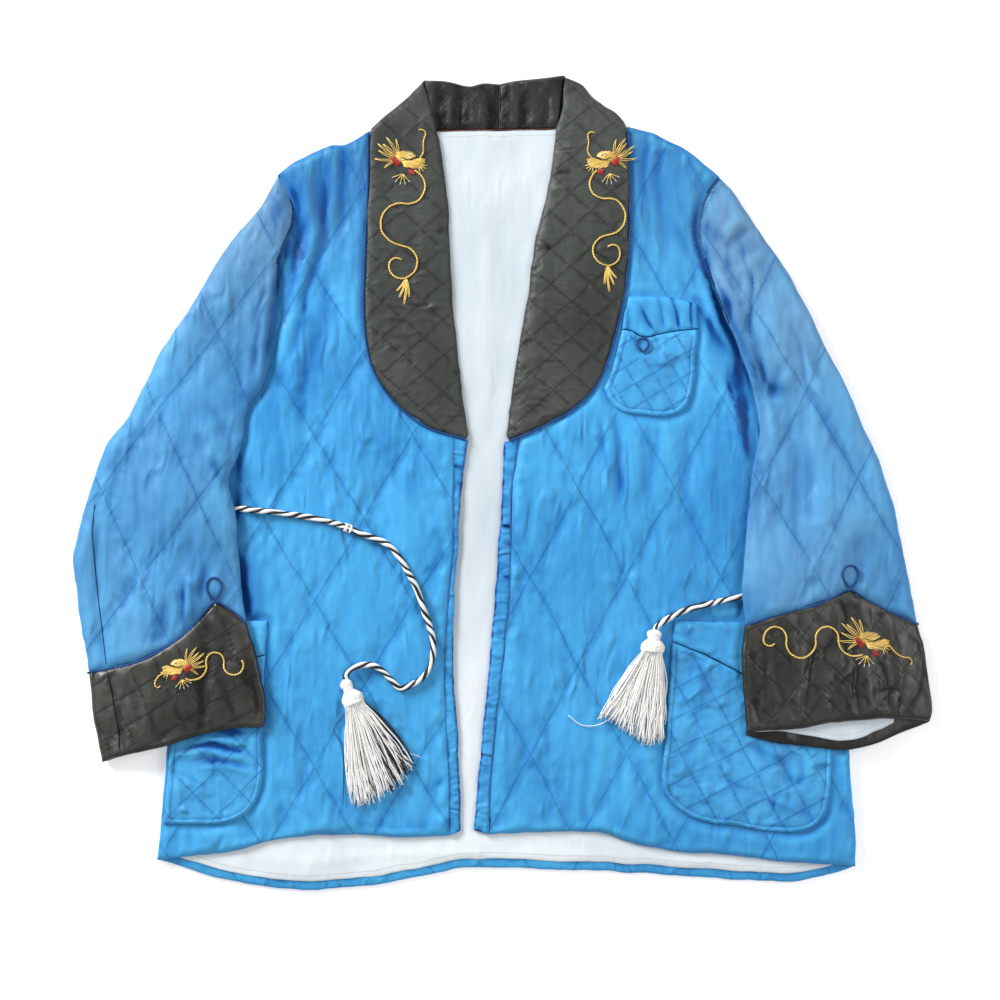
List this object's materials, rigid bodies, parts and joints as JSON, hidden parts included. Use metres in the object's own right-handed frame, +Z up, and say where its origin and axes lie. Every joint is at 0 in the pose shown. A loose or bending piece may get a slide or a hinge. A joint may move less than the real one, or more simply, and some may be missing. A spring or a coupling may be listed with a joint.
{
  "type": "quilted satin robe laid flat",
  "caption": "Quilted satin house robe laid flat: shawl collar, turned cuffs, patch pockets, quilted fronts and a loose cord belt with tassels.",
  "frame": {"origin": "middle of the garment's footprint on the surface that it lies on", "axes": "+Z up from the table, +Y towards the collar, +X towards the wearer's left sleeve"},
  "size_m": [0.8615, 0.8157, 0.0267],
  "materials": {
    "blue_satin": "quilted satin with a soft sheen",
    "faded_blue_satin": "the same satin, faded towards grey",
    "charcoal_satin": "quilted dark satin",
    "neck_satin": "gathered dark satin",
    "navy_cord": "twisted cord trim",
    "white_lining": "plain lining",
    "belt_thread": "white and black twisted yarn"
  },
  "bodies": {
    "root": {"back": "blue_satin", "back_lining": "white_lining", "collar_right_neck": "neck_satin", "collar_left_neck": "neck_satin", "front_right": "blue_satin", "front_band_right": "blue_satin", "front_left": "blue_satin", "front_band_left": "blue_satin", "collar_right": "charcoal_satin", "collar_piping_right": "navy_cord", "collar_left": "charcoal_satin", "collar_piping_left": "navy_cord", "sleeve_right_under": "faded_blue_satin", "sleeve_right_top": "faded_blue_satin", "cuff_right_under": "charcoal_satin", "cuff_right_top": "charcoal_satin", "sleeve_left_under": "faded_blue_satin", "sleeve_left_top": "faded_blue_satin", "cuff_left_under": "charcoal_satin", "cuff_left_top": "charcoal_satin", "cuff_lining_left": "white_lining", "patch_pocket_right": "blue_satin", "patch_pocket_band_right": "blue_satin", "patch_pocket_left": "blue_satin", "patch_pocket_band_left": "blue_satin", "chest_pocket": "blue_satin", "chest_pocket_band": "blue_satin", "cuff_piping_right": "navy_cord", "cuff_loop_right": "navy_cord", "cuff_piping_left": "navy_cord", "cuff_loop_left": "navy_cord", "chest_loop": "navy_cord", "belt_cord_right": "belt_thread", "belt_tassel_right": "belt_thread", "belt_cord_left": "belt_thread", "belt_tassel_left": "belt_thread"}
  },
  "joints": []
}
